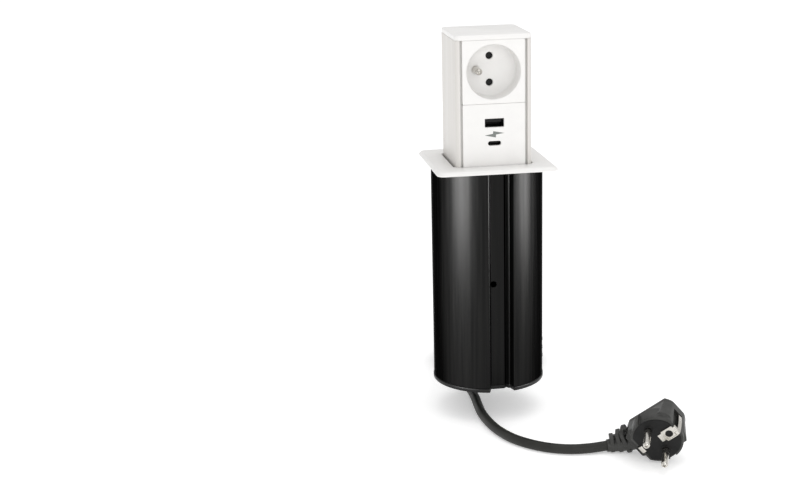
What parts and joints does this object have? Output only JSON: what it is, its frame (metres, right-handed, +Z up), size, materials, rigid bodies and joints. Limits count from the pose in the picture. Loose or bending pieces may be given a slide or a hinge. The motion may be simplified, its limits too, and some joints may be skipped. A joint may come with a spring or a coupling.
{
  "type": "pop-up desk socket tower",
  "caption": "Square socket and charging tower that slides up out of a round black barrel hung in a desk by its square flange, with its mains lead and angled plug.",
  "frame": {"origin": "centre of the flange's underside, in the desk's top plane", "axes": "+Z up, along the tower's travel; -Y out of the socket's face; +X to the right of it"},
  "size_m": [0.1562, 0.3046, 0.283],
  "materials": {
    "white_plastic": "satin moulded white, as the lid, the flange and both modules",
    "housing_plastic": "matt off-white moulded plastic, inside only",
    "anodised_profile": "satin anodised, fine vertical extrusion lines",
    "black_anodised": "satin black, fine vertical extrusion lines",
    "black_moulding": "satin black moulded plastic",
    "grey_plastic": "matt grey sliding plastic",
    "black_rubber": "matt",
    "cord_jacket": "satin dark grey flexible jacket",
    "plug_rubber": "satin dark grey moulded body with a fine grain",
    "nickel": "bright nickel plating",
    "port_metal": "dark plated sheet metal of the charging ports",
    "steel": "plain steel",
    "brass": "plain brass, inside only",
    "mark_print": "grey-green print",
    "circuit_board": "green board",
    "transformer_tape": "yellow tape",
    "capacitor_sleeve": "dark blue sleeve",
    "wire_brown": "insulation",
    "wire_blue": "insulation",
    "wire_green": "insulation"
  },
  "bodies": {
    "housing": {"barrel_shell": "black_anodised", "fixing_ring": "black_moulding", "ring_screws": "steel", "top_flange": "white_plastic", "base_cap": "black_moulding", "base_screws": "steel", "guide_strips": "grey_plastic", "friction_pads": "black_rubber", "stop_blocks": "grey_plastic", "cord_gland": "black_moulding", "gland_nut": "steel", "cord_boot": "black_rubber", "inner_lead": "cord_jacket", "cord_lead_in": "cord_jacket", "cord_coil": "cord_jacket", "cord_tie": "black_rubber", "cord_lead_out": "cord_jacket", "plug_body": "plug_rubber", "plug_strain_relief": "plug_rubber", "plug_pins": "nickel", "plug_earth_clips": "nickel", "plug_earth_contact": "nickel"},
    "tower": {"tower_profile": "anodised_profile", "lid": "white_plastic", "module_rails": "housing_plastic", "socket_face": "white_plastic", "socket_housing": "housing_plastic", "earth_pin": "nickel", "contact_sleeves": "brass", "earth_strap": "brass", "usb_face": "white_plastic", "usb_mark": "mark_print", "usb_a_shell": "port_metal", "usb_a_tongue": "black_moulding", "usb_c_shell": "port_metal", "usb_c_tongue": "black_moulding", "usb_board": "circuit_board", "usb_transformer": "transformer_tape", "usb_capacitors": "capacitor_sleeve", "usb_housing": "housing_plastic", "bottom_plate": "black_moulding", "bottom_screws": "steel", "stop_lugs": "steel", "lead_clamp": "black_moulding", "live_wire": "wire_brown", "neutral_wire": "wire_blue", "earth_wire": "wire_green", "shutter_springs": "steel"},
    "shutter": {"shutter": "black_moulding"}
  },
  "joints": [
    {"name": "tower_slide", "type": "slide", "parent": "housing", "child": "tower", "axis": [0, 0, 1], "range_m": [-0.093, 0], "deforming": ["inner_lead"]},
    {"name": "shutter_slide", "type": "slide", "parent": "tower", "child": "shutter", "axis": [0, 0, 1], "range_m": [-0.0055, 0], "stiffness_N_per_m": 150, "springref_m": 0.002, "deforming": ["shutter_springs"]}
  ]
}
